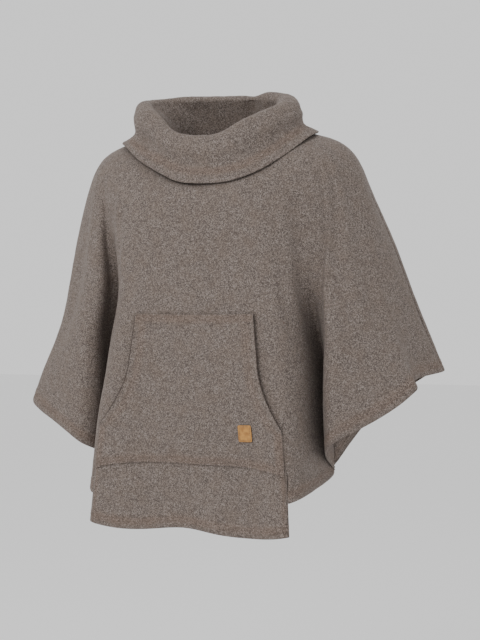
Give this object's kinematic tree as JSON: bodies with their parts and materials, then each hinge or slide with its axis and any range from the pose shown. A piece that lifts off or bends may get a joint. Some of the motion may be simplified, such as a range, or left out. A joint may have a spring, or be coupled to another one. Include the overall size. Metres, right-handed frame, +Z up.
{
  "type": "wool poncho",
  "caption": "Felted wool pullover poncho with a turned-down cowl collar, winged sides and a kangaroo pocket, hollow as worn.",
  "frame": {"origin": "centre of the neck opening, level with the neckline where it meets the shoulders, where the wearer's shoulders hold the garment", "axes": "+Z up, -Y towards the wearer's front, +X to the wearer's left"},
  "size_m": [0.7946, 0.3422, 0.7922],
  "materials": {
    "felt": "matte felted wool, grey-brown heather",
    "leather": "smooth tan leather"
  },
  "bodies": {
    "root": {"front": "felt", "left_wing_front": "felt", "right_wing_front": "felt", "left_wing_back": "felt", "right_wing_back": "felt", "back": "felt", "collar_front": "felt", "collar_back": "felt", "pocket": "felt", "label": "leather"}
  },
  "joints": []
}
